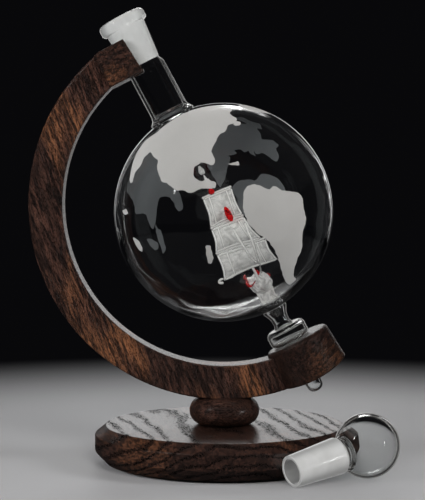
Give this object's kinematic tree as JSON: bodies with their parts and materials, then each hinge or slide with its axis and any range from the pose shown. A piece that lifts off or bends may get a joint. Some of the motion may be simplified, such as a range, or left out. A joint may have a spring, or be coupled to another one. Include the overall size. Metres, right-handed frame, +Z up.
{
  "type": "globe decanter",
  "caption": "Glass globe decanter with a glass sailing ship inside, turning on a leaning axis in a curved wooden stand, with its ball stopper lying beside the round base.",
  "frame": {"origin": "centre of the felt under the base, on the table", "axes": "+Z up, +X towards the open side of the arm and the glass foot, -Y towards the viewer; the arm and the leaning glass axis lie in the XZ plane, the neck leaning 28 degrees towards -X"},
  "size_m": [0.242, 0.1876, 0.3039],
  "materials": {
    "stained_wood": "dark stained open-grained wood, satin lacquer",
    "clear_glass": "clear polished borosilicate glass",
    "etched_globe_glass": "clear glass with a sand-blasted matt world map",
    "frosted_glass": "ground matt white glass",
    "red_glass": "deep red glass",
    "zinc_steel": "bright zinc plate",
    "brass_insert": "plain turned brass",
    "felt": "black felt"
  },
  "bodies": {
    "stand": {"felt_disc": "felt", "base_disc": "stained_wood", "bun_spacer": "stained_wood", "arm": "stained_wood", "cradle_head": "stained_wood", "seat_head": "stained_wood", "centre_screw": "zinc_steel", "screw_washer": "zinc_steel", "threaded_insert": "brass_insert"},
    "vessel": {"ground_socket": "frosted_glass", "neck_tube": "clear_glass", "globe_bulb": "etched_globe_glass", "foot_stem": "clear_glass", "foot_flange": "clear_glass", "foot_pin": "clear_glass", "ship_pedestal": "clear_glass", "ship_hull": "clear_glass", "hull_trim": "red_glass", "bowsprit": "clear_glass", "main_mast": "clear_glass", "mast_finial": "frosted_glass", "masthead_flag": "red_glass", "sail_pennant": "red_glass", "fore_stays": "clear_glass", "upper_yard": "clear_glass", "middle_yard": "clear_glass", "lower_yard": "clear_glass", "top_sail": "clear_glass", "middle_sail": "clear_glass", "lower_sail": "clear_glass"},
    "stopper": {"stopper_cone": "frosted_glass", "stopper_collar": "clear_glass", "stopper_ball": "clear_glass"}
  },
  "joints": [
    {"name": "globe_spin", "type": "hinge", "parent": "stand", "child": "vessel", "pos_m": [-0.00071, 0, 0.1678], "axis": [-0.4695, 0, 0.8829], "continuous": true},
    {"name": "stopper_lift", "type": "slide", "parent": "stand", "child": "stopper", "axis": [0, 0, 1], "range_m": [0, 0.15]}
  ]
}
